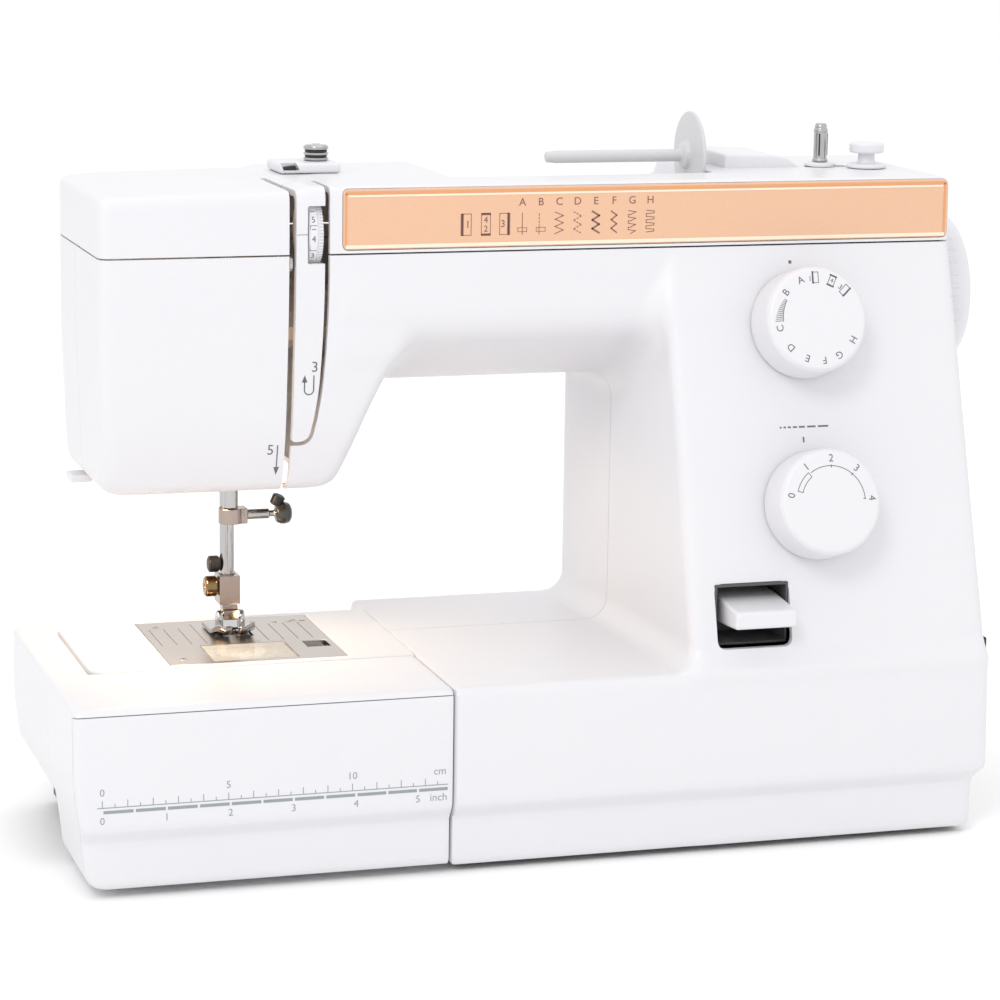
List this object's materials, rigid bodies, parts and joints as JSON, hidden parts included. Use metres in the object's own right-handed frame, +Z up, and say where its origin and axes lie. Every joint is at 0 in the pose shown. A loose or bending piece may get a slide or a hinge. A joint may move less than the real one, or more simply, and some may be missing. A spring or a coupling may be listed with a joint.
{
  "type": "sewing machine",
  "caption": "Free-arm household sewing machine with pattern and stitch length dials, top spool pin, handwheel, drop-in bobbin and slide-off storage table",
  "frame": {"origin": "centre of the machine's footprint, on the surface it stands on", "axes": "+Z up, +X along the arm towards the handwheel, -Y towards the person sewing"},
  "size_m": [0.409, 0.1752, 0.2967],
  "materials": {
    "white_plastic": "fine satin moulded",
    "light_grey_plastic": "satin moulded",
    "peach_plastic": "smooth printed panel",
    "black_plastic": "fine grain",
    "clear_plastic": "clear moulded plastic",
    "lamp_glass": "frosted bulb",
    "plate_steel": "brushed",
    "black_screw": "blackened steel",
    "chrome": "polished plating",
    "casting": "as cast",
    "rubber": "matt"
  },
  "bodies": {
    "machine": {"top_cover": "white_plastic", "face_cover": "white_plastic", "front_cover": "white_plastic", "rear_cover": "white_plastic", "thread_guide_tongue": "white_plastic", "pattern_strip": "peach_plastic", "base_tray": "black_plastic", "foot_front_left": "rubber", "foot_rear_left": "rubber", "foot_front_right": "rubber", "foot_rear_right": "rubber", "free_arm_cover": "white_plastic", "needle_plate": "plate_steel", "bobbin_case": "black_plastic", "timing_belt": "rubber", "drive_belt": "rubber", "motor": "casting", "cast_frame": "casting", "thread_cutter": "white_plastic", "lamp": "lamp_glass", "power_inlet": "black_plastic", "spool_pin": "light_grey_plastic", "winder_stopper": "white_plastic", "upper_thread_guide": "white_plastic", "pretension_cap": "chrome"},
    "upper_drive": {"arm_shaft": "plate_steel", "arm_shaft_pulley": "casting", "handwheel": "white_plastic"},
    "motor_rotor": {"motor_pulley": "plate_steel"},
    "lower_drive": {"bed_shaft": "plate_steel", "bed_shaft_gear": "plate_steel"},
    "hook": {"rotary_hook": "plate_steel"},
    "bobbin_reel": {"bobbin": "clear_plastic"},
    "needle_group": {"needle_bar": "chrome", "connecting_rod": "plate_steel", "needle_clamp": "chrome", "needle_clamp_screw": "black_screw", "needle": "chrome"},
    "take_up": {"take_up_lever": "chrome"},
    "lifter": {"presser_lifter": "white_plastic"},
    "presser": {"presser_bar": "chrome", "presser_spring": "plate_steel", "foot_holder": "chrome", "foot_holder_screw": "black_screw"},
    "snap_foot": {"presser_foot": "chrome"},
    "drop_feed": {"drop_feed_lever": "white_plastic"},
    "feed_carrier": {"feed_bar": "casting"},
    "feed_teeth": {"feed_dog": "plate_steel"},
    "bobbin_cover": {"hook_cover": "clear_plastic"},
    "cover_button": {"hook_cover_release": "black_plastic"},
    "pattern_knob": {"pattern_dial": "white_plastic"},
    "length_knob": {"length_dial": "white_plastic"},
    "tension_knob": {"tension_dial": "white_plastic"},
    "reverse": {"reverse_lever": "white_plastic"},
    "switch": {"power_switch": "black_plastic"},
    "winder": {"winder_slider": "light_grey_plastic"},
    "winder_shaft": {"winder_spindle": "chrome"},
    "handle": {"carrying_handle": "white_plastic"},
    "table": {"extension_table": "white_plastic"},
    "lid": {"storage_lid": "white_plastic"}
  },
  "joints": [
    {"name": "main_shaft_turn", "type": "hinge", "parent": "machine", "child": "upper_drive", "pos_m": [0.19, 0.029, 0.217], "axis": [1, 0, 0], "continuous": true},
    {"name": "motor_turn", "type": "hinge", "parent": "machine", "child": "motor_rotor", "pos_m": [0.15, 0.05, 0.104], "axis": [1, 0, 0], "continuous": true},
    {"name": "bed_shaft_turn", "type": "hinge", "parent": "machine", "child": "lower_drive", "pos_m": [0, 0.029, 0.05], "axis": [1, 0, 0], "continuous": true},
    {"name": "hook_turn", "type": "hinge", "parent": "machine", "child": "hook", "pos_m": [-0.1173, 0.0095, 0.06], "axis": [0, 0, 1], "continuous": true},
    {"name": "bobbin_turn", "type": "hinge", "parent": "machine", "child": "bobbin_reel", "pos_m": [-0.1173, 0.0095, 0.06], "axis": [0, 0, 1], "continuous": true},
    {"name": "needle_bar_slide", "type": "slide", "parent": "machine", "child": "needle_group", "axis": [0, 0, 1], "range_m": [-0.032, 0]},
    {"name": "take_up_swing", "type": "hinge", "parent": "machine", "child": "take_up", "pos_m": [-0.1059, 0.01, 0.232], "axis": [1, 0, 0], "range_deg": [0, 45]},
    {"name": "presser_lift", "type": "hinge", "parent": "machine", "child": "lifter", "pos_m": [-0.096, 0.08, 0.19], "axis": [0, 1, 0], "range_deg": [0, 60]},
    {"name": "presser_bar_slide", "type": "slide", "parent": "machine", "child": "presser", "axis": [0, 0, 1], "range_m": [0, 0.006], "deforming": ["presser_spring"]},
    {"name": "foot_tilt", "type": "hinge", "parent": "presser", "child": "snap_foot", "pos_m": [-0.1173, 0.035, 0.085], "axis": [1, 0, 0], "range_deg": [-2, 2]},
    {"name": "drop_feed_shift", "type": "slide", "parent": "machine", "child": "drop_feed", "axis": [1, 0, 0], "range_m": [0, 0.01]},
    {"name": "feed_lift", "type": "slide", "parent": "machine", "child": "feed_carrier", "axis": [0, 0, 1], "range_m": [-0.003, 0]},
    {"name": "feed_travel", "type": "slide", "parent": "feed_carrier", "child": "feed_teeth", "axis": [0, 1, 0], "range_m": [-0.002, 0.002]},
    {"name": "hook_cover_lift", "type": "slide", "parent": "machine", "child": "bobbin_cover", "axis": [0, 0, 1], "range_m": [0, 0.012]},
    {"name": "cover_release_press", "type": "slide", "parent": "machine", "child": "cover_button", "axis": [1, 0, 0], "range_m": [0, 0.0018], "stiffness_N_per_m": 300, "springref_m": -0.001},
    {"name": "pattern_dial_turn", "type": "hinge", "parent": "machine", "child": "pattern_knob", "pos_m": [0.1084, -0.04205, 0.2128], "axis": [0, -0.9604, 0.2785], "range_deg": [-232, 54]},
    {"name": "length_dial_turn", "type": "hinge", "parent": "machine", "child": "length_knob", "pos_m": [0.1084, -0.06299, 0.1406], "axis": [0, -0.9604, 0.2785], "range_deg": [-74, 94]},
    {"name": "tension_dial_turn", "type": "hinge", "parent": "machine", "child": "tension_knob", "pos_m": [-0.0962, -0.019, 0.2535], "axis": [1, 0, 0], "range_deg": [-130, 130]},
    {"name": "reverse_lever_press", "type": "hinge", "parent": "machine", "child": "reverse", "pos_m": [0.079, -0.04, 0.099], "axis": [1, 0, 0], "range_deg": [0, 11], "stiffness_Nm_per_rad": 0.3, "springref_deg": -3.44},
    {"name": "power_switch_rock", "type": "hinge", "parent": "machine", "child": "switch", "pos_m": [0.18, -0.066, 0.0765], "axis": [0, 1, 0], "range_deg": [0, 10]},
    {"name": "winder_shift", "type": "slide", "parent": "machine", "child": "winder", "axis": [1, 0, 0], "range_m": [0, 0.004]},
    {"name": "winder_turn", "type": "hinge", "parent": "winder", "child": "winder_shaft", "pos_m": [0.1395, 0.018, 0.28], "axis": [0, 0, 1], "continuous": true},
    {"name": "handle_swing", "type": "hinge", "parent": "machine", "child": "handle", "pos_m": [0.0275, 0.0831, 0.26], "axis": [1, 0, 0], "range_deg": [0, 165]},
    {"name": "table_slide", "type": "slide", "parent": "machine", "child": "table", "axis": [-1, 0, 0], "range_m": [0, 0.14]},
    {"name": "lid_open", "type": "hinge", "parent": "table", "child": "lid", "pos_m": [-0.128, -0.0782, 0.0055], "axis": [1, 0, 0], "range_deg": [0, 80]}
  ],
  "couplings": [
    {"joint": "motor_turn", "follows": "main_shaft_turn", "ratio": 3.75},
    {"joint": "bed_shaft_turn", "follows": "main_shaft_turn", "ratio": 1},
    {"joint": "hook_turn", "follows": "main_shaft_turn", "ratio": 2},
    {"joint": "take_up_swing", "follows": "needle_bar_slide", "rad_per_m": -24.5},
    {"joint": "presser_lift", "follows": "presser_bar_slide", "rad_per_m": 174.5},
    {"joint": "feed_lift", "follows": "drop_feed_shift", "ratio": -0.29}
  ]
}
